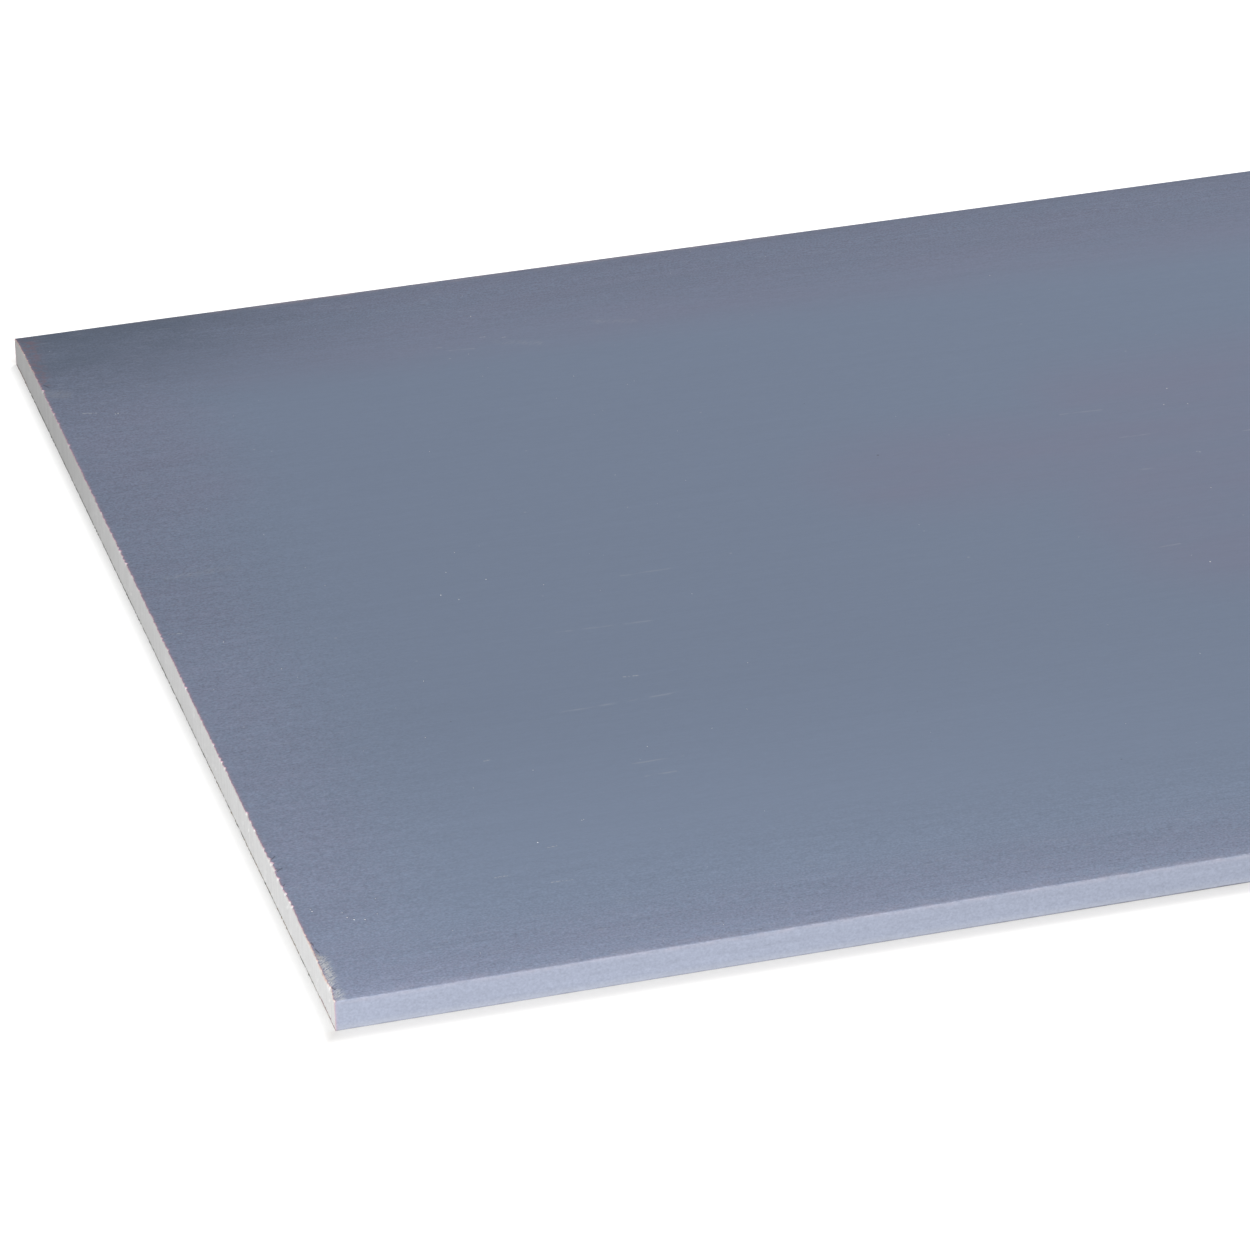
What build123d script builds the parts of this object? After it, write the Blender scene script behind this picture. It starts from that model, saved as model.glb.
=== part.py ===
from build123d import *
import math
import os

os.makedirs("parts", exist_ok=True)

# Sheet sizes in millimetres. X runs along the sheet, Y across it, Z up from the underside to the face.
sheet_length = 2000.0
sheet_width = 600.0
sheet_thickness = 15.0

# Paper liners
face_paper = 0.40
back_paper = 0.40

# Tapered long edges: the face falls gently from the flat field to a shoulder, then rolls over to the fold.
taper_width = 50.0
taper_start_slope = 1.0
shoulder_width = 16.0
shoulder_fall = 1.05
taper_depth = 2.50

# Folds of the face liner round the long edge, measured on the outside of the paper
face_fold_radius = 0.55
back_fold_radius = 0.55

# Seam on the underside: the face liner turns in flush with the back, then steps up under the edge of the
# back liner, which is glued over it.
lap_width = 25.0
back_liner_inset = 8.0
seam_step = 1.0

half_width = sheet_width / 2
field_half = half_width - taper_width
shoulder_half = half_width - shoulder_width
edge_top = sheet_thickness - taper_depth
liner_half = half_width - back_liner_inset


def taper_curve(side):
    """The tapered face on one side, drawn from the flat field out to the long edge."""
    start = (side * field_half, sheet_thickness)
    shoulder = (side * shoulder_half, sheet_thickness - shoulder_fall)
    end = (side * half_width, edge_top)
    slope = math.radians(taper_start_slope)
    fall = TangentArc(start, shoulder, tangent=(side * math.cos(slope), -math.sin(slope)))
    roll = TangentArc(shoulder, end, tangent=fall % 1)
    return [fall, roll]


def round_corners(outline, height, radius):
    """Round the two corners that stand on the long edges at the given height."""
    near = radius / 100
    on_edges = outline.vertices().filter_by(lambda vertex: abs(abs(vertex.X) - half_width) < near)
    corners = on_edges.filter_by(lambda vertex: abs(vertex.Y - height) < near)
    return fillet(corners, radius)


def wrapped_outline():
    """Outside of the face liner: field, tapers, long edges, and the underside with its step to the seam."""
    field = Line((-field_half, sheet_thickness), (field_half, sheet_thickness))
    edges_and_seam = Polyline(
        (-half_width, edge_top),
        (-half_width, 0),
        (-liner_half - seam_step, 0),
        (-liner_half, back_paper),
        (liner_half, back_paper),
        (liner_half + seam_step, 0),
        (half_width, 0),
        (half_width, edge_top),
    )
    outline = make_face([field, *taper_curve(1), *taper_curve(-1), edges_and_seam])
    outline = round_corners(outline, edge_top, face_fold_radius)
    return round_corners(outline, 0, back_fold_radius)


def sheet_sections():
    """Cross-sections of the core and the two liners, which touch all along and never overlap."""
    outline = wrapped_outline()
    inside_of_paper = offset(outline, -face_paper, kind=Kind.INTERSECTION)
    between_laps = Pos(0, back_paper) * Rectangle(sheet_width - 2 * lap_width, 4 * face_paper)
    face_liner = outline - inside_of_paper - between_laps
    core = outline - face_liner
    back_liner = Pos(0, back_paper / 2) * Rectangle(2 * liner_half, back_paper)
    return {"gypsum_core": core, "face_liner": face_liner, "back_liner": back_liner}


# Each section stands in the YZ plane and runs the whole length, sawn square at both ends.
for node, section in sheet_sections().items():
    solid = extrude(Plane.YZ * section, amount=sheet_length / 2, both=True)
    export_step(solid, "parts/" + node + ".step")
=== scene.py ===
import bisect
import math
import random

import bmesh
import bpy
from mathutils import Matrix, Vector, noise


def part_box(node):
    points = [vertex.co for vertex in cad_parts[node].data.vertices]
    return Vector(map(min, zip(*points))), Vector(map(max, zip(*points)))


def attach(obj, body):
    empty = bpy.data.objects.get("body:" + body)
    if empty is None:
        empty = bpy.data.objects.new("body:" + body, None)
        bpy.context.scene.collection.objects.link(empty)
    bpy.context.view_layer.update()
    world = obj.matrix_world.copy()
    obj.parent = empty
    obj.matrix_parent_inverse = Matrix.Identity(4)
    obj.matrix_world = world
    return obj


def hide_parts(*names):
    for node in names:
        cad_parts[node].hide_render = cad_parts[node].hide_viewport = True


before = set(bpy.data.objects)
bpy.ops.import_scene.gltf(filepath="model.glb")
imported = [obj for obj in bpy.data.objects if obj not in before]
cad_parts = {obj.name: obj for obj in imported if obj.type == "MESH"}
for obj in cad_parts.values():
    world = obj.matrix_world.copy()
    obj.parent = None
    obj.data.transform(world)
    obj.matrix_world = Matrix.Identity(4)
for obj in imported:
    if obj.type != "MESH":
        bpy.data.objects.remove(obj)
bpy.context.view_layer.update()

MM = 0.001
LEFT, RIGHT = -1, 1

# Sizes read from the frame
core_low, core_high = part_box("gypsum_core")
_, face_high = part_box("face_liner")
back_low, back_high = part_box("back_liner")
half_length = face_high[0]
half_width = face_high[1]
thickness = face_high[2]
paper = face_high[2] - core_high[2]
liner_half = back_high[1]
seam_height = back_high[2]

# Section of the long edges, as in the part
taper_width = 50.0 * MM
taper_start_tilt = math.radians(1.0)
shoulder_width = 16.0 * MM
shoulder_fall = 1.05 * MM
taper_depth = 2.5 * MM
face_fold = 0.55 * MM
back_fold = 0.55 * MM
lap_width = 25.0 * MM
seam_step = 1.0 * MM
field_half = half_width - taper_width
lap_end = half_width - lap_width

# Distance of the papers' rows from a sawn end, and the spacing of the rows between the two ends
end_rows = [off * MM for off in (0, 0.3, 0.7, 1.2, 1.8, 2.6, 3.8, 5.6, 8.4, 12)]
inside_rows = [0.0, 2.6 * MM]
back_rows = [0.0, 0.8 * MM, 3.4 * MM]
end_strip = 18.0 * MM
row_spacing = 12.5 * MM

# Spacing of points across the papers at a sawn end. Of these, one in so many runs on along the sheet.
face_step = 0.6 * MM
back_step = 0.8 * MM
kept_every = 20

# Points along each stretch of the section of a long edge
fall_points = 57
roll_points = 29
fold_points = 9
side_points = 19
arris_points = 7
flush_points = 7
lap_points = 9

# How far the unevenness of the folded arris reaches over the face and down the long edge
fold_reach_face = 6 * MM
fold_reach_side = 2 * MM

# Depth over which the torn look of a paper's end fades
face_torn_fade = 0.35 * MM
back_torn_fade = 0.5 * MM

# Counts of scattered detail
small_bites = 60
pores_per_end = 170
core_levels = 26
scattered_specks = 110
rim_fibre_counts = {LEFT: 520, RIGHT: 420}
scuff_fibre_counts = (150, 130, 50)

# Ranges of the fibres' radius and length in millimetres
fibre_radius = (0.025, 0.05)
rim_fibre_lengths = (0.25, 0.75)
scuff_fibre_lengths = (0.8, 3.0)


def on_sheet(from_left_end, from_near_edge):
    """A place on the face, given in millimetres from the left end and from the near long edge."""
    return -half_length + from_left_end * MM, -half_width + from_near_edge * MM


def spread(start, end, count):
    """Evenly spaced values from start to end, both included."""
    return [start + (end - start) * i / (count - 1) for i in range(count)]


# Section geometry

def arc_from(start, tilt, end):
    """Circle that leaves one point at a tilt and reaches another: its centre, radius and tilt at the end."""
    ny, nz = math.sin(tilt), math.cos(tilt)
    dy, dz = end[0] - start[0], end[1] - start[1]
    radius = -(dy * dy + dz * dz) / (2 * (dy * ny + dz * nz))
    cy, cz = start[0] - radius * ny, start[1] - radius * nz
    return cy, cz, radius, math.atan2(end[0] - cy, end[1] - cz)


class Column:
    """One point of the paper's section: its place, outward normal and how it is used along the sheet."""

    def __init__(self, y, z, ny, nz, keep, fold, side):
        self.y, self.z = y, z
        self.ny, self.nz = ny, nz
        self.keep = keep
        self.fold = fold
        self.side = side
        self.along = 0.0

    def mirrored(self):
        return Column(-self.y, self.z, -self.ny, self.nz, self.keep, self.fold, self.side)


def half_section(inset):
    """The paper's surface from the edge of the flat field out over one long edge to the end of its lap."""
    start = (field_half, thickness)
    shoulder = (half_width - shoulder_width, thickness - shoulder_fall)
    end = (half_width, thickness - taper_depth)
    fall_y, fall_z, fall_radius, shoulder_tilt = arc_from(start, taper_start_tilt, shoulder)
    roll_y, roll_z, roll_radius, _ = arc_from(shoulder, shoulder_tilt, end)
    fold_y = half_width - face_fold
    fold_z = roll_z + math.sqrt((roll_radius - face_fold) ** 2 - (fold_y - roll_y) ** 2)
    fold_tilt = math.atan2(fold_y - roll_y, fold_z - roll_z)
    low_y, low_z = half_width - back_fold, back_fold
    columns = []

    def add(y, z, ny, nz, keep, fold=0.0, side=0.0):
        columns.append(Column(y - inset * ny, z - inset * nz, ny, nz, keep, fold, side))

    def add_arc(cy, cz, radius, tilts, every, side_from=0.0, side_to=0.0, fold=None):
        for i, tilt in enumerate(tilts):
            ny, nz = math.sin(tilt), math.cos(tilt)
            side = side_from + (side_to - side_from) * i / (len(tilts) - 1)
            away = (fold_y - cy - radius * ny) / fold_reach_face
            closeness = max(0.0, 1 - away) ** 2 if fold is None else fold
            add(cy + radius * ny, cz + radius * nz, ny, nz, i % every == 0, closeness, side)

    add_arc(fall_y, fall_z, fall_radius, spread(taper_start_tilt, shoulder_tilt, fall_points), 4)
    add_arc(roll_y, roll_z, roll_radius, spread(shoulder_tilt, fold_tilt, roll_points)[1:], 2)
    turns = spread(fold_tilt, math.pi / 2, fold_points)[1:]
    add_arc(fold_y, fold_z, face_fold, turns, 1, side_from=0.3, side_to=1.0, fold=1.0)
    for i, z in enumerate(spread(fold_z, low_z, side_points)[1:-1]):
        closeness = max(0.0, 1 - (fold_z - z) / fold_reach_side) ** 2
        add(half_width, z, 1.0, 0.0, i % 2 == 1, closeness, 1.0)
    turns = spread(math.pi / 2, math.pi, arris_points)
    add_arc(low_y, low_z, back_fold, turns, 1, side_from=1.0, side_to=1.0, fold=0.0)
    for i, y in enumerate(spread(low_y, liner_half + seam_step, flush_points)[1:-1]):
        add(y, 0.0, 0.0, -1.0, i % 2 == 1, side=1.0)
    lean = math.tan(math.atan2(seam_height, seam_step) / 2)
    add(liner_half + seam_step, 0.0, -lean, -1.0, True, side=1.0)
    add(liner_half, seam_height, -lean, -1.0, True, side=1.0)
    for i, y in enumerate(spread(liner_half, lap_end, lap_points)[1:]):
        add(y, seam_height, 0.0, -1.0, i % 2 == 1, side=1.0)
    return columns


def paper_section(inset):
    """The whole paper surface across the sheet, from one lap over the face to the other."""
    far_side = half_section(inset)
    near_side = [column.mirrored() for column in reversed(far_side)]
    field_count = kept_every * round(2 * field_half / face_step / kept_every) + 1
    field = []
    for i, y in enumerate(spread(-field_half, field_half, field_count)[1:-1]):
        keep = (i + 1) % kept_every == 0
        field.append(Column(y, thickness - inset, 0.0, 1.0, keep, 0.0, 0.0))
    section = near_side + field + far_side
    distance = 0.0
    for before, after in zip(section, section[1:]):
        distance += math.hypot(after.y - before.y, after.z - before.z)
        after.along = distance
    for column in section:
        column.along -= distance / 2
    return section


outside_section = paper_section(0.0)
inside_section = paper_section(paper)
kept_columns = [i for i, column in enumerate(outside_section) if column.keep]

# The cut through the paper is square, so both of its skins are torn back alike.
for inner, outer in zip(inside_section, outside_section):
    inner.along = outer.along


def height_between(columns, y):
    """Height of a run of section points, sorted across the sheet, at one place."""
    after = bisect.bisect_right(columns, y, 1, len(columns) - 1, key=lambda column: column.y)
    a, b = columns[after - 1], columns[after]
    return a.z + (b.z - a.z) * (y - a.y) / (b.y - a.y)


face_top = [column for column in outside_section if column.nz > 0.02]
core_top = [column for column in inside_section if column.nz > 0.02]


# Saw and handling damage

class EndDamage:
    """How far the paper is torn back, and how far it stands up, along one sawn end."""

    def __init__(self, seed, bites, flaps):
        self.seed = seed
        self.bites = [(place * MM - half_width, width * MM, depth * MM) for place, width, depth in bites]
        self.flaps = [(place * MM - half_width, width * MM, height * MM) for place, width, height in flaps]
        draw = random.Random(seed)
        for _ in range(small_bites):
            place = draw.uniform(-half_width, half_width)
            width = draw.uniform(0.6, 2.6) * MM
            depth = draw.uniform(0.04, 0.22) * MM
            self.bites.append((place, width, depth))

    def waver(self, along, size, layer):
        """Random wave along the end, of a size in millimetres."""
        return noise.noise(Vector((along / (size * MM), self.seed, layer)))

    def torn_back(self, along):
        """Distance from the sawn plane to the paper's edge."""
        fine = self.waver(along, 1.7, 0.0)
        coarse = self.waver(along, 5.0, 7.0)
        slow = self.waver(along, 45.0, 13.0)
        ragged = 0.52 + 0.6 * max(0.0, self.waver(along, 28.0, 17.0))
        depth = (0.32 + ragged * fine + 0.24 * coarse + 0.10 * slow) * MM
        for place, width, bite in self.bites:
            reach = 1 - abs(along - place) / width
            if reach > 0:
                depth += bite * reach * (2 - reach) * (1 + 0.5 * fine)
        return max(depth, 0.02 * MM)

    def lift(self, along, off):
        """Height of the burr and of torn flaps, gone within a few millimetres."""
        rough = self.waver(along, 2.2, 21.0)
        height = max(0.0, 0.04 + 0.08 * rough) * MM * math.exp(-off / (1.1 * MM))
        for place, width, rise in self.flaps:
            reach = 1 - abs(along - place) / width
            if reach > 0:
                height += rise * reach * math.exp(-off / (1.4 * MM))
        return height


# Damage along the left end, in millimetres from the near edge: place, half width, depth or height
left_bites = [
    (101.5, 6, 0.60), (95.6, 2.2, 0.50), (66, 9, 0.30), (76, 9, 0.15), (37, 4, 0.25),
    (31, 3, 0.20), (8.6, 4.8, 0.50), (536, 5, 0.35), (543, 2.5, 0.20),
]
left_flaps = [(105.5, 1.6, 0.30), (96, 1.6, 0.35), (38.6, 1.5, 0.25), (7.2, 1.8, 0.35), (22, 6, 0.12)]
damage = {LEFT: EndDamage(3, left_bites, left_flaps), RIGHT: EndDamage(11, [], [])}

# Marks on the face, each a line between two places in millimetres from the left end and from the near edge
# Painted shadows under lifted torn flaps and in folds of the torn paper at the ends
flap_shadows = [
    ((1.3, 104.8), (3, 106.8)), ((1.2, 95.2), (3.6, 97.3)), ((0.9, 84), (1.6, 84.9)),
    ((1.2, 40.2), (1.4, 37.4)), ((1.5, 35.6), (2.3, 32.2)),
]
fold_shadows = [((1, 8.4), (2, 6.9)), ((2, 543), (3.4, 540.5))]
bare_ply = [((1, 33.5), (1.4, 28.5))]
frayed_bands = [((1.2, 28), (1.6, 19)), ((1.6, 19), (1, 10.5)), ((1.3, 5.6), (1.5, 2.2))]
pale_smears = [
    ((14, 345.5), (40, 347)), ((200, 524), (217, 517)), ((247, 531), (262, 526)),
]
chalky_smears = [((1, 534.5), (8, 531))]
red_smudges = [((1, 545), (2, 570)), ((2, 570), (5, 594))]
purple_patches = [
    ((330, 345), (480, 345)), ((440, 385), (560, 400)), ((450, 320), (550, 240)),
    ((425, 290), (432, 240)), ((25, 520), (25, 430)),
]
fine_scratches = [
    ((135, 184), (185, 186)), ((152, 250), (193, 248)), ((151, 135), (171, 135.3)),
    ((153, 124), (165, 124.2)), ((190, 290), (214, 290.2)), ((409, 377), (427, 376)),
    ((425, 348), (441, 347)), ((403, 246), (415, 246.3)), ((163, 527.8), (175, 526)),
    ((178, 521.7), (188.4, 520.5)), ((477, 337.7), (484, 337.5)), ((423, 316.4), (429, 315.6)),
]
short_scratches = [
    ((97, 55.8), (104.7, 55.3)), ((167, 205), (173, 204.4)), ((77.8, 65.6), (82.4, 65.7)),
    ((12.5, 509.7), (18.3, 508.2)), ((3.8, 296.8), (8.6, 296.1)), ((97, 155), (99.2, 155.2)),
    ((102.6, 81.6), (105.9, 82.1)), ((194, 531), (196, 530.6)), ((203, 527.8), (204.4, 527.6)),
    ((175.2, 514), (176, 513.8)), ((184.2, 492), (184.9, 491.8)), ((451.5, 325), (452.6, 324.2)),
]
dust_places = [
    (6.4, 63.6), (6.7, 61.9), (17.1, 57.8), (18, 53.6), (20.1, 51.3), (24, 50.1), (29.3, 53),
    (31.3, 64.1), (26.8, 504.9), (25.6, 504.6), (195.6, 553.3), (198, 577.1), (222.3, 479.3),
    (123, 315), (116, 296), (122, 290), (137, 304), (158, 292), (91, 226),
    (113, 142), (453.9, 372.3), (460.6, 386.9), (463.9, 370), (445, 290.8), (421, 227),
]


# Mesh building

class Shape:
    """Points, faces and per-point marks collected for one mesh."""

    def __init__(self, *marks):
        self.points = []
        self.faces = []
        self.slots = []
        self.marks = {name: [] for name in marks}

    def row(self, points, **marks):
        first = len(self.points)
        self.points.extend(points)
        for name, values in self.marks.items():
            values.extend(marks.get(name, [0.0] * len(points)))
        return list(range(first, len(self.points)))

    def face(self, corners, slot=0):
        self.faces.append(corners)
        self.slots.append(slot)

    def bridge(self, a, b, slot=0):
        """Four-sided faces between two rows of the same length."""
        for i in range(len(a) - 1):
            self.face((a[i], a[i + 1], b[i + 1], b[i]), slot)

    def sheet(self, rows):
        """Four-sided faces along a run of rows."""
        for a, b in zip(rows, rows[1:]):
            self.bridge(a, b)

    def step(self, fine, coarse, picks):
        """Faces between a fine row and a coarse one that keeps only the picked columns."""
        for k in range(len(picks) - 1):
            stretch = fine[picks[k]:picks[k + 1] + 1]
            self.face((*stretch, coarse[k + 1], coarse[k]))

    def build(self, name, materials, sharp_degrees):
        mesh = bpy.data.meshes.new(name)
        mesh.from_pydata(self.points, [], self.faces)
        mesh.polygons.foreach_set("material_index", self.slots)
        for mark, values in self.marks.items():
            layer = mesh.attributes.new(mark, "FLOAT", "POINT")
            layer.data.foreach_set("value", values)
        work = bmesh.new()
        work.from_mesh(mesh)
        bmesh.ops.recalc_face_normals(work, faces=work.faces)
        work.to_mesh(mesh)
        work.free()
        mesh.shade_smooth()
        mesh.set_sharp_from_angle(angle=math.radians(sharp_degrees))
        for material in materials:
            mesh.materials.append(material)
        piece = bpy.data.objects.new(name, mesh)
        bpy.context.scene.collection.objects.link(piece)
        return piece


def interior_rows():
    """Places along the sheet between the two end strips."""
    reach = half_length - end_strip
    return spread(-reach, reach, round(2 * reach / row_spacing) + 1)


def arris_wave(column, x):
    """Slight unevenness of the folded arris along the sheet."""
    if column.fold == 0.0:
        return 0.0
    side = math.copysign(1.0, column.y)
    slow = noise.noise(Vector((x / (60 * MM), side * 5.0, 3.0)))
    quick = noise.noise(Vector((x / (26 * MM), side * 9.0, 8.0)))
    return column.fold * (0.07 * slow + 0.03 * quick) * MM


def plain_point(column, x, burr=0.0):
    """One point of the paper, raised by the unevenness of the arris and by any burr."""
    rise = burr + arris_wave(column, x)
    return x, column.y + column.ny * rise, column.z + column.nz * rise


def end_point(column, end, off):
    """One point of the paper near a sawn end, following the torn edge."""
    fade = max(0.0, 1 - off / end_strip)
    torn = damage[end].torn_back(column.along) * (1 - 0.8 * column.side)
    burr = damage[end].lift(column.along, off) if column.nz >= 0 else 0.0
    return plain_point(column, end * (half_length - off - torn * fade), burr)


def add_skin(shape, columns, picks, rows, fade, at_end, at_middle, **marks):
    """One side of a paper: detailed strips at both ends, and rows of the picked columns between them."""
    strips = {}
    for end in (LEFT, RIGHT):
        strips[end] = []
        for off in rows:
            points = [at_end(column, end, off) for column in columns]
            torn = [math.exp(-off / fade)] * len(points)
            strips[end].append(shape.row(points, torn=torn, **marks))
        shape.sheet(strips[end])
    picked = {name: [values[i] for i in picks] for name, values in marks.items()}
    middle = [shape.row([at_middle(columns[i], x) for i in picks], **picked) for x in interior_rows()]
    shape.sheet(middle)
    shape.step(strips[LEFT][-1], middle[0], picks)
    shape.step(strips[RIGHT][-1], middle[-1], picks)
    return strips, middle


def make_face_liner(materials):
    """The face paper: field, tapers, long edges and laps, as one closed sheet with torn ends."""
    shape = Shape("fold", "side", "torn")
    skins = []
    for section, rows in ((outside_section, end_rows), (inside_section, inside_rows)):
        folds = [column.fold for column in section]
        sides = [column.side for column in section]
        skins.append(add_skin(shape, section, kept_columns, rows, face_torn_fade, end_point, plain_point,
                              fold=folds, side=sides))
    (out_strips, out_middle), (in_strips, in_middle) = skins
    for end in (LEFT, RIGHT):
        shape.bridge(out_strips[end][0], in_strips[end][0], slot=1)
    for column in (0, -1):
        outside = [row[column] for row in out_middle]
        inside = [row[column] for row in in_middle]
        shape.bridge(outside, inside, slot=1)
        for end, nearest in ((LEFT, 0), (RIGHT, -1)):
            out_end = [row[column] for row in out_strips[end]]
            in_end = [row[column] for row in reversed(in_strips[end])]
            shape.face((*out_end, outside[nearest], inside[nearest], *in_end), slot=1)
    return shape.build("face_liner_paper", materials, sharp_degrees=50)


class SawnFace:
    """Depth of the sawn gypsum face behind the end plane."""

    def __init__(self, seed, end):
        self.seed = seed
        self.end = end
        draw = random.Random(seed)
        self.pits = []
        for _ in range(pores_per_end):
            place = draw.uniform(-half_width, half_width)
            height = draw.uniform(core_low[2], core_high[2])
            size = draw.uniform(0.35, 0.8) * MM
            self.pits.append((place, height, size))

    def waver(self, y, z, wide, tall, layer):
        """Random wave over the face, of a size in millimetres across and up."""
        return noise.noise(Vector((y / (wide * MM), z / (tall * MM), self.seed + layer)))

    def depth(self, y, z, low, high):
        """Depth at one place, given the height of the core's underside and top there."""
        slanted = y + 0.08 * z
        stroke = self.waver(slanted, z, 1.1, 22, 0.0)
        scratch = self.waver(slanted, z, 0.5, 12, 4.0)
        swell = self.waver(y, z, 11, 9, 9.0)
        depth = 0.14 + 0.05 * stroke + 0.03 * scratch + 0.07 * swell
        crumb = self.waver(y, z, 1.3, 1.3, 15.0)
        under_face = max(0.0, 1 - (high - z) / (0.8 * MM))
        over_back = max(0.0, 1 - (z - low) / (0.6 * MM))
        depth += (under_face + over_back) * max(0.0, 0.06 + 0.18 * crumb)
        torn = damage[self.end].torn_back(y)
        depth += under_face * max(0.0, torn / MM - 0.35) * 0.9
        return depth * MM


def core_floor(reach):
    """Height of the core's underside at a distance from the middle of the sheet."""
    lean = paper * math.tan(math.atan2(seam_height, seam_step) / 2)
    step_in, step_out = liner_half + lean, liner_half + seam_step + lean
    arc = reach - (half_width - back_fold)
    if reach <= lap_end:
        return seam_height
    if reach <= step_in:
        return seam_height + paper
    if reach <= step_out:
        return seam_height + paper - seam_height * (reach - step_in) / (step_out - step_in)
    if arc <= 0:
        return paper
    return back_fold - math.sqrt(max(0.0, (back_fold - paper) ** 2 - arc ** 2))


def core_columns():
    """Places across the core, with the height of its underside and its top at each."""
    corners = [lap_end, lap_end + 0.01 * MM, liner_half, liner_half + seam_step]
    places = {column.y for column in core_top}
    places.update(corners)
    places.update(-corner for corner in corners)
    columns = [(y, core_floor(abs(y)), height_between(core_top, y)) for y in sorted(places)]
    side = half_width - paper
    fold_height = min(column.z for column in core_top)
    return [(-side, back_fold, fold_height), *columns, (side, back_fold, fold_height)]


def make_gypsum_core(materials):
    """The core: two sawn faces in full detail, joined by plain sides that the paper hides."""
    shape = Shape("rim", "foot")
    columns = core_columns()
    grids = {}
    for end, seed in ((LEFT, 31.0), (RIGHT, 57.0)):
        sawn = SawnFace(seed, end)
        grid = []
        for level in spread(0.0, 1.0, core_levels):
            points = []
            rims = []
            feet = []
            for y, low, high in columns:
                z = low + (high - low) * level
                points.append((end * (half_length - sawn.depth(y, z, low, high)), y, z))
                rims.append(max(0.0, 1 - (high - z) / (1.2 * MM)))
                feet.append(max(0.0, 1 - (z - low) / (0.5 * MM)))
            grid.append(shape.row(points, rim=rims, foot=feet))
        shape.sheet(grid)
        for pit in sawn.pits:
            press_pit(shape, grid, columns, end, *pit)
        grids[end] = grid
    left, right = grids[LEFT], grids[RIGHT]
    shape.bridge(left[0], right[0])
    shape.bridge(left[-1], right[-1])
    for column in (0, -1):
        shape.bridge([row[column] for row in left], [row[column] for row in right])
    return shape.build("gypsum_core_sawn", materials, sharp_degrees=60)


def press_pit(shape, grid, columns, end, place, height, size):
    """Push a small round pore into the sawn face."""
    for i, (y, _, _) in enumerate(columns):
        if abs(y - place) >= size:
            continue
        for row in grid:
            x, py, pz = shape.points[row[i]]
            reach = 1 - math.hypot(py - place, pz - height) / size
            if reach > 0:
                shape.points[row[i]] = (x - end * 0.4 * size * math.sqrt(reach), py, pz)


def make_back_liner(materials):
    """The back paper: a flat sheet with torn ends and slightly uneven long edges."""
    shape = Shape("torn")
    count = kept_every * round(2 * liner_half / back_step / kept_every) + 1
    places = spread(-liner_half, liner_half, count)
    picks = list(range(0, count, kept_every))
    tears = {LEFT: EndDamage(23, [], []), RIGHT: EndDamage(29, [], [])}

    def at_middle(column, x):
        y, z = column
        rim = max(0.0, 1 - (liner_half - abs(y)) / (3 * MM))
        wander = noise.noise(Vector((x / (60 * MM), math.copysign(4.0, y), 2.0)))
        return x, y + math.copysign(rim * 0.25 * MM * (wander - 0.6), y), z

    def at_end(column, end, off):
        fade = max(0.0, 1 - off / end_strip)
        x = end * (half_length - off - 0.5 * tears[end].torn_back(column[0]) * fade)
        return at_middle(column, x)

    skins = []
    for z in (back_low[2], back_high[2]):
        columns = [(y, z) for y in places]
        strips, middle = add_skin(shape, columns, picks, back_rows, back_torn_fade, at_end, at_middle)
        skins.append((strips, strips[LEFT] + middle + strips[RIGHT][::-1]))
    (low_strips, low_rows), (high_strips, high_rows) = skins
    for end in (LEFT, RIGHT):
        shape.bridge(low_strips[end][0], high_strips[end][0])
    for column in (0, -1):
        shape.bridge([row[column] for row in low_rows], [row[column] for row in high_rows])
    return shape.build("back_liner_paper", materials, sharp_degrees=50)


def add_strand(shape, draw, root, heading, lengths, sag):
    """One bent three-sided fibre that narrows to a point, with a random length, droop and radius."""
    length = draw.uniform(*lengths) * MM
    droop = Vector((0, 0, -draw.uniform(0.0, sag) * length))
    thick = draw.uniform(*fibre_radius) * MM
    heading = heading.normalized()
    across = heading.orthogonal().normalized()
    other = heading.cross(across)
    rings = []
    for t in (0.0, 0.3, 0.6, 0.85):
        centre = root + heading * (length * t) + droop * (t * t)
        ring = []
        for k in range(3):
            turn = 2 * math.pi * k / 3
            out = across * math.cos(turn) + other * math.sin(turn)
            ring.append(tuple(centre + out * (thick * (1 - 0.6 * t))))
        rings.append(shape.row(ring))
    tip = shape.row([tuple(root + heading * length + droop)])[0]
    for a, b in zip(rings, rings[1:]):
        for k in range(3):
            after = (k + 1) % 3
            shape.face((a[k], a[after], b[after], b[k]))
    last = rings[-1]
    for k in range(3):
        shape.face((last[k], last[(k + 1) % 3], tip))
    shape.face(tuple(reversed(rings[0])))


def make_rim_fibres(materials):
    """Loose paper fibres standing out of the torn edge at both ends."""
    shape = Shape()
    draw = random.Random(71)
    rim = [column for column in outside_section if column.z > 2 * MM]
    for end, count in rim_fibre_counts.items():
        for _ in range(count):
            column = draw.choice(rim)
            x, y, z = end_point(column, end, 0.0)
            normal = Vector((0.0, column.ny, column.nz))
            along = Vector((0.0, -column.nz, column.ny))
            root = Vector((x - end * 0.15 * MM, y, z)) - normal * draw.uniform(0.05, 0.3) * MM
            heading = Vector((end * draw.uniform(0.3, 1.0), 0, 0))
            heading += normal * draw.uniform(-0.1, 0.5) + along * draw.uniform(-0.9, 0.9)
            add_strand(shape, draw, root, heading, rim_fibre_lengths, sag=0.25)
    return shape.build("rim_fibres", materials, sharp_degrees=80)


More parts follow.
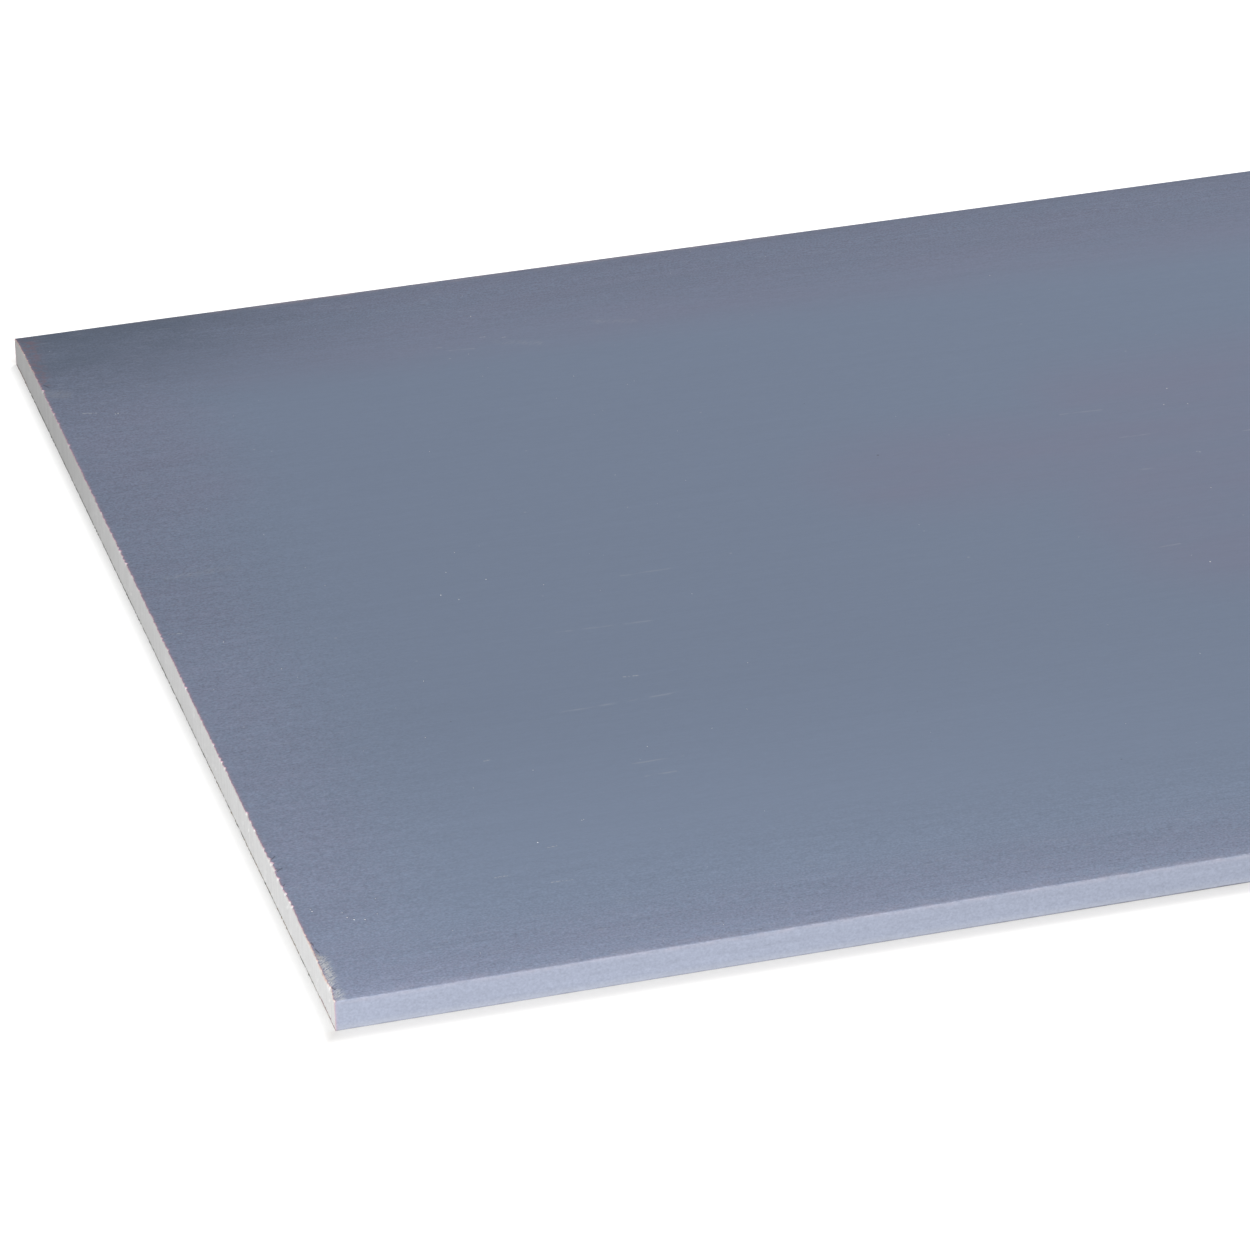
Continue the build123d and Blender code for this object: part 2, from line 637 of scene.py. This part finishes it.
def make_scuff_fibres(materials):
    """Pale fibres rubbed up from the face at the damaged near corner."""
    shape = Shape()
    draw = random.Random(83)
    for (start, end), count in zip(frayed_bands, scuff_fibre_counts):
        for _ in range(count):
            t = draw.random()
            from_end = start[0] + (end[0] - start[0]) * t + draw.gauss(0.0, 0.7)
            from_edge = start[1] + (end[1] - start[1]) * t + draw.gauss(0.0, 0.8)
            x, y = on_sheet(max(0.5, from_end), max(1.2, from_edge))
            root = Vector((x, y, height_between(face_top, y) + 0.02 * MM))
            turn = math.radians(draw.uniform(10, 80))
            heading = Vector((math.cos(turn), math.sin(turn), draw.uniform(0.0, 0.2)))
            add_strand(shape, draw, root, heading, scuff_fibre_lengths, sag=0.08)
    return shape.build("scuff_fibres", materials, sharp_degrees=80)


def make_crumbs(materials):
    """Specks of gypsum dust lying on the face."""
    ball = bmesh.new()
    bmesh.ops.create_icosphere(ball, subdivisions=1, radius=1.0)
    corners = [vertex.co.copy() for vertex in ball.verts]
    facets = [[vertex.index for vertex in face.verts] for face in ball.faces]
    ball.free()
    shape = Shape()
    draw = random.Random(97)
    spots = [(place, draw.uniform(0.15, 0.25)) for place in dust_places]
    for _ in range(scattered_specks):
        from_end = abs(draw.gauss(0.0, 260.0))
        place = (from_end % (2 * half_length / MM), draw.uniform(3.0, 2 * half_width / MM - 3.0))
        spots.append((place, draw.uniform(0.08, 0.17)))
    for place, size in spots:
        x, y = on_sheet(*place)
        z = height_between(face_top, y)
        wide, deep, tall = (size * draw.uniform(0.7, 1.3) * MM for _ in range(3))
        points = []
        for corner in corners:
            bulge = 1 + 0.25 * noise.noise(corner * 1.7 + Vector((x, y, z)) * 900)
            points.append((x + corner.x * wide * bulge, y + corner.y * deep * bulge,
                           z + (corner.z * 0.6 + 0.4) * tall * bulge))
        first = shape.row(points)[0]
        for facet in facets:
            shape.face(tuple(first + index for index in facet))
    return shape.build("dust_specks", materials, sharp_degrees=80)


# Colours in linear light

# Face paper
face_blue = (0.1755, 0.2175, 0.302)
face_purple = (0.186, 0.207, 0.290)
edge_dust_and_sheen = (0.229, 0.251, 0.316)
corner_shade_tone = (0.106, 0.131, 0.184)
hair_tone = (0.34, 0.37, 0.43)
pale_fleck = (0.36, 0.38, 0.42)
dark_fleck = (0.07, 0.075, 0.09)
scratch_tone = (0.42, 0.44, 0.47)
frayed_tone = (0.52, 0.54, 0.57)
ply_tone = (0.38, 0.36, 0.34)
smear_tone = (0.42, 0.43, 0.44)
chalk_tone = (0.38, 0.38, 0.39)
red_tone = (0.20, 0.13, 0.155)
flap_shadow_tone = (0.055, 0.065, 0.09)
rub_tone = (0.42, 0.36, 0.40)
floor_bounce_tone = (0.36, 0.37, 0.41)
contact_shade_tone = (0.075, 0.075, 0.085)
torn_tone = (0.41, 0.27, 0.32)

# Torn pulp and scuffed fibres
rosy_pulp = (0.50, 0.31, 0.40)
pale_rosy_pulp = (0.62, 0.46, 0.53)
peach_pulp = (0.66, 0.47, 0.42)
pale_peach_pulp = (0.74, 0.60, 0.55)
lap_pulp = (0.50, 0.45, 0.39)
blue_fibre = (0.52, 0.54, 0.58)
pale_fibre = (0.70, 0.69, 0.68)

# Gypsum
gypsum_grey = (0.705, 0.705, 0.70)
gypsum_pale = (0.745, 0.745, 0.75)
pore_tone = (0.40, 0.39, 0.37)
rim_stain = (0.74, 0.59, 0.52)
seam_shade_tone = (0.13, 0.145, 0.12)

# Back paper
back_brown = (0.30, 0.275, 0.235)
back_pale = (0.38, 0.35, 0.305)
back_dark_fleck = (0.12, 0.11, 0.10)
back_light_fleck = (0.52, 0.50, 0.46)
near_rim_shade = (0.05, 0.06, 0.045)
near_rim_brown = (0.22, 0.165, 0.10)
far_rim_shade = (0.015, 0.023, 0.017)
far_rim_shaded_brown = (0.055, 0.052, 0.040)
corner_rim = (0.36, 0.34, 0.29)

# Floor
shadow_grey = (0.56, 0.56, 0.555)
shadow_warm = (0.56, 0.545, 0.525)
bounce_grey = (0.30, 0.30, 0.30)


# Materials

class Graph:
    """Short-hand for the nodes of one material."""

    def __init__(self, name):
        self.material = bpy.data.materials.new(name)
        self.material.use_nodes = True
        self.tree = self.material.node_tree
        self.shader = self.tree.nodes["Principled BSDF"]
        self.place = self.node("ShaderNodeTexCoord").outputs["Object"]
        self.x, self.y, self.z = self.node("ShaderNodeSeparateXYZ", {0: self.place}).outputs

    def node(self, kind, inputs=None, **settings):
        """Add a node with some settings, and feed the inputs that are given by name or number."""
        made = self.tree.nodes.new(kind)
        for name, value in settings.items():
            setattr(made, name, value)
        for socket, value in (inputs or {}).items():
            self.feed(made.inputs[socket], value)
        return made

    def feed(self, socket, value):
        """Link a socket to another one, or set its value. A colour is given without its alpha."""
        if isinstance(value, bpy.types.NodeSocket):
            self.tree.links.new(value, socket)
        elif socket.type == "RGBA":
            socket.default_value = (*value, 1.0)
        else:
            socket.default_value = value

    def stretched(self, size, shift=0.0, turn=0.0):
        """Coordinates in which a pattern has the given size in millimetres along X, Y and Z."""
        vector = self.place
        if turn:
            spin = {"Vector": vector, "Angle": math.radians(turn)}
            vector = self.node("ShaderNodeVectorRotate", spin, rotation_type="Z_AXIS").outputs[0]
        scale = [1000.0 / s for s in size]
        location = [shift, shift * 0.7, shift * 1.3]
        mapping = self.node("ShaderNodeMapping", {"Vector": vector, "Scale": scale, "Location": location})
        return mapping.outputs["Vector"]

    def noise(self, size, detail=2.0, shift=0.0, turn=0.0):
        """Smooth random values around one half."""
        inputs = {"Vector": self.stretched(size, shift, turn), "Scale": 1.0, "Detail": detail}
        return self.node("ShaderNodeTexNoise", inputs).outputs["Fac"]

    def math(self, operation, a, b=0.0, clamp=False):
        return self.node("ShaderNodeMath", {0: a, 1: b}, operation=operation, use_clamp=clamp).outputs[0]

    def times(self, a, b, clamp=False):
        return self.math("MULTIPLY", a, b, clamp)

    def plus(self, a, b, clamp=False):
        return self.math("ADD", a, b, clamp)

    def minus(self, a, b):
        return self.math("SUBTRACT", a, b)

    def larger(self, a, b):
        return self.math("MAXIMUM", a, b)

    def size_of(self, value):
        return self.math("ABSOLUTE", value)

    def linear(self, value, factor, start):
        """The value times a factor, added to a start."""
        return self.plus(self.times(value, factor), start)

    def vector(self, operation, a, b, output=0):
        return self.node("ShaderNodeVectorMath", {0: a, 1: b}, operation=operation).outputs[output]

    def between(self, value, low, high):
        """Smooth step from 0 at low to 1 at high."""
        inputs = {"Value": value, "From Min": low, "From Max": high}
        return self.node("ShaderNodeMapRange", inputs, interpolation_type="SMOOTHSTEP").outputs["Result"]

    def ranged(self, value, low, high):
        """A noise pattern spread over a range of values."""
        inputs = {"Value": value, "From Min": 0.3, "From Max": 0.7, "To Min": low, "To Max": high}
        return self.node("ShaderNodeMapRange", inputs).outputs["Result"]

    def mix(self, amount, a, b):
        return self.node("ShaderNodeMix", {"Factor": amount, 6: a, 7: b}, data_type="RGBA").outputs[2]

    def stain(self, colour, tone, where, strength):
        """The colour turned towards a tone where a pattern says, by the given strength."""
        return self.mix(self.times(where, strength), colour, tone)

    def shade(self, colour, factor):
        """Colour made lighter or darker by a factor around one."""
        inputs = {0: colour, "Scale": factor}
        return self.node("ShaderNodeVectorMath", inputs, operation="SCALE").outputs[0]

    def mark(self, name):
        return self.node("ShaderNodeAttribute", attribute_name=name).outputs["Fac"]

    def flecks(self, size, share, shift):
        """Sparse small spots: only a share of the cells of the pattern hold one."""
        cells = self.node("ShaderNodeTexVoronoi", {"Vector": self.stretched(size, shift), "Scale": 1.0})
        split = self.node("ShaderNodeSeparateColor", {0: cells.outputs["Color"]})
        chosen = self.minus(split.outputs[0], 1.0 - share)
        reach = self.times(chosen, 0.3 / share)
        inside = self.minus(reach, cells.outputs["Distance"])
        return self.between(inside, 0.0, 0.1)

    def variation(self, *layers):
        """One plus the sum of noise layers, each with its strength."""
        total = 1.0
        for value, strength in layers:
            total = self.plus(self.times(self.minus(value, 0.5), strength), total)
        return total

    def strokes(self, lines, width):
        """One along lines drawn on the sheet, falling to zero at the given distance from them."""
        total = 0.0
        flat = self.vector("MULTIPLY", self.place, (1.0, 1.0, 0.0))
        for start, end in lines:
            a, b = Vector(on_sheet(*start)), Vector(on_sheet(*end))
            line = b - a
            away = self.vector("SUBTRACT", flat, (*a, 0.0))
            reach = self.vector("DOT_PRODUCT", away, (*(line / line.length_squared), 0.0), output="Value")
            share = self.times(reach, 1.0, clamp=True)
            nearest = self.shade((*line, 0.0), share)
            distance = self.vector("DISTANCE", away, nearest, output="Value")
            total = self.larger(self.between(distance, width * MM, 0.15 * width * MM), total)
        return total

    def finish(self, colour, roughness, specular, height, relief):
        """Feed the shader: colour, roughness and a bump that stands up by the relief."""
        bump = self.node("ShaderNodeBump", {"Strength": 1.0, "Distance": relief, "Height": height})
        self.feed(self.shader.inputs["Base Color"], colour)
        self.feed(self.shader.inputs["Roughness"], roughness)
        self.feed(self.shader.inputs["Specular IOR Level"], specular)
        self.feed(self.shader.inputs["Normal"], bump.outputs["Normal"])
        return self.material


def face_paper_material():
    """Blue-grey liner: soft mottling, fibres and streaks, paler long edges, marks of handling, and painted
    light and shade.
    """
    g = Graph("face_paper")
    side = g.mark("side")
    on_face = g.minus(1.0, side)
    from_left = g.plus(g.x, half_length)
    from_end = g.minus(half_length, g.size_of(g.x))
    from_near = g.plus(g.y, half_width)
    from_edge = g.minus(half_width, g.size_of(g.y))
    border = g.larger(g.between(from_end, 0.11, 0.01), g.between(from_edge, 0.10, 0.01))
    # Base tone, blue-grey turning slightly purple towards the borders and in patches
    grain = g.noise((0.9, 0.75, 0.75), shift=5)
    tint = g.noise((1, 1.3, 1), shift=11)
    mottle = g.between(g.noise((55, 18, 18), detail=4, shift=1), 0.25, 0.75)
    margin = g.times(g.larger(g.between(from_end, 0.07, 0.01), g.between(from_near, 0.05, 0.01)), 0.85)
    margin = g.larger(margin, g.between(g.y, half_width - 0.105, half_width - 0.065))
    margin = g.larger(margin, g.times(g.strokes(purple_patches, 62.0), 1.1))
    purpled = g.times(margin, g.linear(mottle, 0.4, 0.55))
    speckle = g.times(g.minus(tint, 0.5), g.linear(border, 1.5, 0.6))
    colour = g.mix(g.plus(purpled, speckle, clamp=True), face_blue, face_purple)
    # Painted shade: darker along the far edge, away from the left end, where the far taper turns from the
    # lamp
    far_painted_shade = g.times(g.between(g.y, 0.20, 0.27), g.between(from_left, 0.10, 0.28))
    colour = g.shade(colour, g.linear(far_painted_shade, -0.06, 1.0))
    # Painted light: paler towards the near edge, most at the left, where the near taper faces the lamp
    near_painted_light = g.times(g.between(from_near, 0.21, 0.05), g.between(from_left, 0.75, 0.0))
    colour = g.shade(colour, g.linear(near_painted_light, 0.15, 1.0))
    # Paler along the near half of the left end, darker along its far half, and painted shade darkest in the
    # far corner, where the light falls off
    end_tone = g.linear(g.between(g.y, 0.03, -0.05), 0.105, -0.05)
    colour = g.shade(colour, g.plus(g.times(g.between(from_left, 0.085, 0.0), end_tone), 1.0))
    corner = g.times(g.between(from_left, 0.22, 0.0), g.between(g.y, 0.185, 0.295))
    cloud = g.noise((26, 17, 17), detail=3, shift=29)
    colour = g.mix(g.times(corner, g.plus(cloud, 0.45), clamp=True), colour, corner_shade_tone)
    # Paler long edges: the same paper, with dust and a painted sheen
    colour = g.mix(side, colour, edge_dust_and_sheen)
    # Fibres, streaks and grain, stronger towards the borders of the sheet
    fibre = g.noise((5, 0.9, 0.9), detail=3, shift=2)
    streak = g.noise((70, 2.6, 2.6), detail=3, shift=9)
    grain_strength = g.plus(g.times(border, g.linear(on_face, 0.52, 0.30)), 0.18)
    streak_strength = g.linear(border, 0.14, 0.06)
    fibre_strength = g.linear(g.times(border, on_face), 0.22, 0.10)
    layers = ((fibre, fibre_strength), (grain, grain_strength), (streak, streak_strength))
    colour = g.shade(colour, g.variation(*layers))
    hairs = g.between(g.noise((7, 0.8, 0.8), detail=1, shift=31, turn=4), 0.62, 0.76)
    colour = g.stain(colour, hair_tone, g.times(g.times(hairs, border), on_face), 0.25)
    # Small pale and dark flecks
    colour = g.stain(colour, pale_fleck, g.flecks((2.6, 2.2, 2.2), 0.004, 3), 0.35)
    colour = g.stain(colour, dark_fleck, g.flecks((2.4, 2.4, 2.4), 0.0015, 13), 0.5)
    # Scratches along the sheet
    worn = g.between(g.noise((9, 3, 3), shift=23), 0.40, 0.62)
    colour = g.stain(colour, scratch_tone, g.times(g.strokes(fine_scratches, 0.9), worn), 0.22)
    broken = g.between(grain, 0.42, 0.56)
    colour = g.stain(colour, scratch_tone, g.times(g.strokes(short_scratches, 0.6), broken), 0.6)
    # Damage, smears and smudges, most of them at the left end
    brush = g.between(g.noise((3.4, 0.6, 0.6), detail=3, shift=19, turn=-38), 0.40, 0.64)
    frayed = g.times(g.times(g.strokes(frayed_bands, 4.8), brush), on_face)
    colour = g.stain(colour, frayed_tone, frayed, 0.85)
    colour = g.stain(colour, ply_tone, g.times(g.strokes(bare_ply, 1.2), broken), 0.75)
    colour = g.stain(colour, smear_tone, g.times(g.strokes(pale_smears, 3.4), brush), 0.15)
    chalked = g.times(g.strokes(chalky_smears, 6.0), g.plus(brush, 0.5))
    colour = g.stain(colour, chalk_tone, chalked, 0.14)
    blotchy = g.between(g.noise((2.4, 3, 3), shift=37), 0.42, 0.58)
    colour = g.stain(colour, red_tone, g.times(g.strokes(red_smudges, 7.0), blotchy), 0.5)
    # Painted shadows under the lifted torn flaps and in the folds
    painted_flap_shadows = g.larger(g.strokes(flap_shadows, 0.42), g.strokes(fold_shadows, 0.6))
    colour = g.stain(colour, flap_shadow_tone, painted_flap_shadows, 0.7)
    # Rubbed upper arris, most along the far edge
    patchy = g.between(g.noise((7, 2, 2), shift=17), 0.3, 0.7)
    far_rub = g.times(g.between(from_left, 0.03, 0.12), g.between(from_left, 0.45, 0.25))
    far_change = g.linear(far_rub, 0.75, -0.2)
    rub_strength = g.plus(g.times(g.between(g.y, 0.0, 0.1), far_change), 0.2)
    colour = g.stain(colour, rub_tone, g.times(g.mark("fold"), patchy), rub_strength)
    # Painted bounce light from the floor paling the foot of the long edge, and painted contact shade along
    # the lower arris, deeper away from the left end
    colour = g.stain(colour, floor_bounce_tone, g.between(g.z, 3.6 * MM, 0.4 * MM), 0.3)
    shade_away_from_left = g.times(g.between(from_left, 0.15, 0.45), 0.65)
    shade_depth = g.plus(g.times(patchy, 0.3), shade_away_from_left)
    arris = g.times(g.between(g.z, 0.9 * MM, 0.45 * MM), g.between(from_edge, 0.9 * MM, 0.4 * MM))
    colour = g.stain(colour, contact_shade_tone, arris, shade_depth)
    # Torn rim
    colour = g.stain(colour, torn_tone, g.mark("torn"), 0.8)
    height = g.plus(g.times(fibre, 0.5), g.times(grain, 0.5))
    roughness = g.larger(g.ranged(grain, 0.70, 0.90), frayed)
    return g.finish(colour, roughness, specular=0.2, height=height, relief=0.05 * MM)


def torn_paper_material():
    """The paper's own torn thickness: rosy grey pulp, peach at the corners, duller at the laps."""
    g = Graph("torn_paper")
    pulp = g.noise((1.4, 1, 1), detail=3)
    patchy = g.between(g.noise((3, 3, 3), shift=7), 0.40, 0.60)
    rosy = g.mix(patchy, rosy_pulp, pale_rosy_pulp)
    peach = g.mix(patchy, peach_pulp, pale_peach_pulp)
    to_corner = g.minus(half_width, g.size_of(g.y))
    colour = g.mix(g.between(to_corner, 60 * MM, 35 * MM), rosy, peach)
    colour = g.shade(colour, g.variation((pulp, 0.25)))
    colour = g.mix(g.between(g.z, 1.1 * MM, 0.6 * MM), colour, lap_pulp)
    return g.finish(colour, g.ranged(pulp, 0.90, 1.0), specular=0.1, height=pulp, relief=0.1 * MM)


def scuff_fibre_material():
    """Pale paper fibres with a little of the face's blue left in them."""
    g = Graph("scuffed_paper")
    pulp = g.noise((2, 2, 2))
    colour = g.mix(g.between(pulp, 0.35, 0.65), blue_fibre, pale_fibre)
    return g.finish(colour, g.ranged(pulp, 0.90, 1.0), specular=0.1, height=pulp, relief=0.02 * MM)


def gypsum_material():
    """Bare gypsum: pale grey, finely grained, with saw strokes and pores, and painted shade towards the far
    corner and along the seam.
    """
    g = Graph("gypsum")
    patches = g.noise((20, 14, 9))
    grain = g.noise((0.7, 0.7, 0.7), detail=3, shift=4)
    strokes = g.noise((4, 1.5, 40), detail=3, shift=8)
    colour = g.mix(patches, gypsum_grey, gypsum_pale)
    colour = g.shade(colour, g.variation((grain, 0.12), (strokes, 0.26)))
    colour = g.stain(colour, pore_tone, g.flecks((1.6, 1.6, 1.6), 0.03, 6), 0.25)
    # Painted shade on the left end, growing towards the far corner, where the light falls off
    shade_from_near = g.times(g.between(g.y, -0.24, 0.06), 0.11)
    shade_depth = g.times(g.between(g.y, 0.06, 0.20), 0.17)
    end_shade = g.times(g.plus(shade_from_near, shade_depth), g.between(g.x, 0.0, -half_length))
    colour = g.shade(colour, g.minus(1.0, end_shade))
    # Stain under the torn paper, strongest at the near corner
    stained = g.times(g.mark("rim"), g.between(g.noise((3, 3, 3), shift=21), 0.35, 0.6))
    near_corner = g.between(g.y, -half_width + 62 * MM, -half_width + 38 * MM)
    colour = g.stain(colour, rim_stain, stained, g.linear(near_corner, 0.6, 0.2))
    # Painted shade along the seam over the back paper, the crevice where core, liner and floor meet
    begun = g.between(g.y, -half_width + 15 * MM, -half_width + 50 * MM)
    deepened = g.linear(g.between(g.y, 0.0, 0.25), 0.35, 0.55)
    colour = g.stain(colour, seam_shade_tone, g.mark("foot"), g.times(begun, deepened))
    return g.finish(colour, g.ranged(grain, 0.90, 1.0), specular=0.1, height=grain, relief=0.10 * MM)


def back_paper_material():
    """Back liner: grey-brown recycled paper with light and dark fibres; its torn ends are brown pulp
    darkened by painted shade along the floor, darkest towards the far edge.
    """
    g = Graph("back_paper")
    cloud = g.noise((6, 4, 4), detail=3)
    fibre = g.noise((3.5, 0.5, 0.5), detail=3, shift=3)
    streak = g.noise((260, 6, 6), shift=6)
    colour = g.mix(cloud, back_brown, back_pale)
    colour = g.shade(colour, g.variation((fibre, 0.22), (streak, 0.14)))
    colour = g.stain(colour, back_dark_fleck, g.flecks((2.6, 1.2, 1.2), 0.06, 12), 0.5)
    colour = g.stain(colour, back_light_fleck, g.flecks((3.4, 1, 1), 0.06, 15), 0.4)
    # Torn ends: brown pulp with painted shade where the paper meets the floor, deepest towards the far edge
    near = g.mix(g.between(cloud, 0.42, 0.58), near_rim_shade, near_rim_brown)
    far = g.mix(g.between(cloud, 0.42, 0.62), far_rim_shade, far_rim_shaded_brown)
    rim = g.mix(g.between(g.y, -0.22, 0.05), near, far)
    rim = g.mix(g.between(g.y, -half_width + 40 * MM, -half_width + 15 * MM), rim, corner_rim)
    colour = g.stain(colour, rim, g.mark("torn"), 0.92)
    return g.finish(colour, g.ranged(fibre, 0.80, 0.96), specular=0.15, height=fibre, relief=0.06 * MM)


# Studio

floor_reach = 15.0
floor_level = -0.05 * MM
shadow_glow = 0.40
white_glow = 0.55
faint_light = 0.16

# Lamps: name, place, aim, size in metres and power in watts
lamps = [
    ("key", (-2.27, -3.02, 0.70), (-0.85, -0.10, 0.0), 0.8, 186.0),
    ("fill", (0.25, 1.20, 2.20), (-0.65, 0.0, 0.0), 1.0, 38.0),
]

# Camera: angles in degrees, aim on the face and distance in metres, lens in millimetres
camera_yaw = 15.196
camera_fall = 27.39
camera_roll = -1.375
camera_aim = (-0.82031, -0.0524)
camera_distance = 2.6270
sensor_width = 36.0
focal_length = 188.964
nearest_seen = 0.05


def looking_rays(tree):
    """One for rays from the camera, also by way of a reflection or through glass."""
    path = tree.nodes.new("ShaderNodeLightPath")
    seen = path.outputs["Is Camera Ray"]
    for kind in ("Is Glossy Ray", "Is Transmission Ray"):
        either = tree.nodes.new("ShaderNodeMath")
        either.operation = "MAXIMUM"
        tree.links.new(seen, either.inputs[0])
        tree.links.new(path.outputs[kind], either.inputs[1])
        seen = either.outputs[0]
    return seen


def floor_material():
    """Pale, with a soft shadow round the sheet that runs out to white; the glow is weakest next to the
    sheet, a painted shadow that deepens the real one.
    """
    g = Graph("floor")
    slant = g.times(g.y, 3.5 * MM)
    beyond_end = g.plus(g.minus(g.size_of(g.x), half_length), slant)
    beyond_edge = g.minus(g.size_of(g.y), half_width)
    # Painted shadow: the glow is weaker close to the sheet and rises to white away from it
    away = g.larger(g.between(beyond_end, -1 * MM, 9.4 * MM), g.between(beyond_edge, 0.0, 17 * MM))
    tone = g.mix(g.between(beyond_edge, -1 * MM, 0.0), shadow_grey, shadow_warm)
    glow = g.node("ShaderNodeEmission", {"Strength": g.linear(away, white_glow, shadow_glow)})
    seen = g.node("ShaderNodeBsdfDiffuse", {"Color": tone})
    unseen = g.node("ShaderNodeBsdfDiffuse", {"Color": bounce_grey})
    lit = g.node("ShaderNodeAddShader", {0: seen.outputs[0], 1: glow.outputs[0]})
    shaders = {0: looking_rays(g.tree), 1: unseen.outputs[0], 2: lit.outputs[0]}
    choose = g.node("ShaderNodeMixShader", shaders)
    g.feed(g.tree.nodes["Material Output"].inputs["Surface"], choose.outputs[0])
    g.tree.nodes.remove(g.shader)
    return g.material


def make_floor():
    """Plain square that the sheet lies on."""
    mesh = bpy.data.meshes.new("floor")
    signs = ((-1, -1), (1, -1), (1, 1), (-1, 1))
    corners = [(x * floor_reach, y * floor_reach, floor_level) for x, y in signs]
    mesh.from_pydata(corners, [], [(0, 1, 2, 3)])
    mesh.materials.append(floor_material())
    floor = bpy.data.objects.new("floor", mesh)
    bpy.context.scene.collection.objects.link(floor)


def make_world():
    """Faint even light, seen as white."""
    world = bpy.data.worlds.new("studio")
    world.use_nodes = True
    bpy.context.scene.world = world
    tree = world.node_tree
    background = tree.nodes["Background"]
    background.inputs["Color"].default_value = (1, 1, 1, 1)
    strength = tree.nodes.new("ShaderNodeMapRange")
    strength.inputs["To Min"].default_value = faint_light
    strength.inputs["To Max"].default_value = 1.0
    tree.links.new(looking_rays(tree), strength.inputs["Value"])
    tree.links.new(strength.outputs["Result"], background.inputs["Strength"])


def make_lamp(name, place, aim, size, power):
    """Soft square lamp."""
    lamp = bpy.data.lights.new(name, "AREA")
    lamp.shape = "SQUARE"
    lamp.size = size
    lamp.energy = power
    stand = bpy.data.objects.new(name, lamp)
    stand.location = place
    stand.rotation_euler = (Vector(aim) - Vector(place)).to_track_quat("-Z", "Y").to_euler()
    stand.visible_camera = False
    bpy.context.scene.collection.objects.link(stand)


def make_camera():
    """Long lens looking down on the sheet's near left part."""
    yaw, fall, roll = (math.radians(angle) for angle in (camera_yaw, camera_fall, camera_roll))
    aim = Vector((*camera_aim, thickness))
    level = math.cos(fall)
    forward = Vector((math.sin(yaw) * level, math.cos(yaw) * level, -math.sin(fall)))
    lens = bpy.data.cameras.new("camera")
    lens.sensor_width = sensor_width
    lens.lens = focal_length
    lens.clip_start = nearest_seen
    camera = bpy.data.objects.new("camera", lens)
    turn = forward.to_track_quat("-Z", "Y").to_matrix() @ Matrix.Rotation(roll, 3, "Z")
    camera.matrix_world = Matrix.Translation(aim - camera_distance * forward) @ turn.to_4x4()
    bpy.context.scene.collection.objects.link(camera)
    bpy.context.scene.camera = camera


# Assembly

face_paper = face_paper_material()
torn_paper = torn_paper_material()
gypsum = gypsum_material()
back_paper = back_paper_material()

whole_pieces = [
    (make_face_liner([face_paper, torn_paper]), "face_liner", "face_paper"),
    (make_gypsum_core([gypsum]), "gypsum_core", "gypsum"),
    (make_back_liner([back_paper]), "back_liner", "back_paper"),
]
for piece, node, slot in whole_pieces:
    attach(piece, "root")
    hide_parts(node)

small_pieces = [
    (make_rim_fibres([torn_paper]), "face_paper"),
    (make_scuff_fibres([scuff_fibre_material()]), "face_paper"),
    (make_crumbs([gypsum]), "gypsum"),
]
for piece, slot in small_pieces:
    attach(piece, "root")

make_floor()
make_world()
for lamp_values in lamps:
    make_lamp(*lamp_values)
make_camera()

bpy.context.scene.view_settings.view_transform = "Standard"
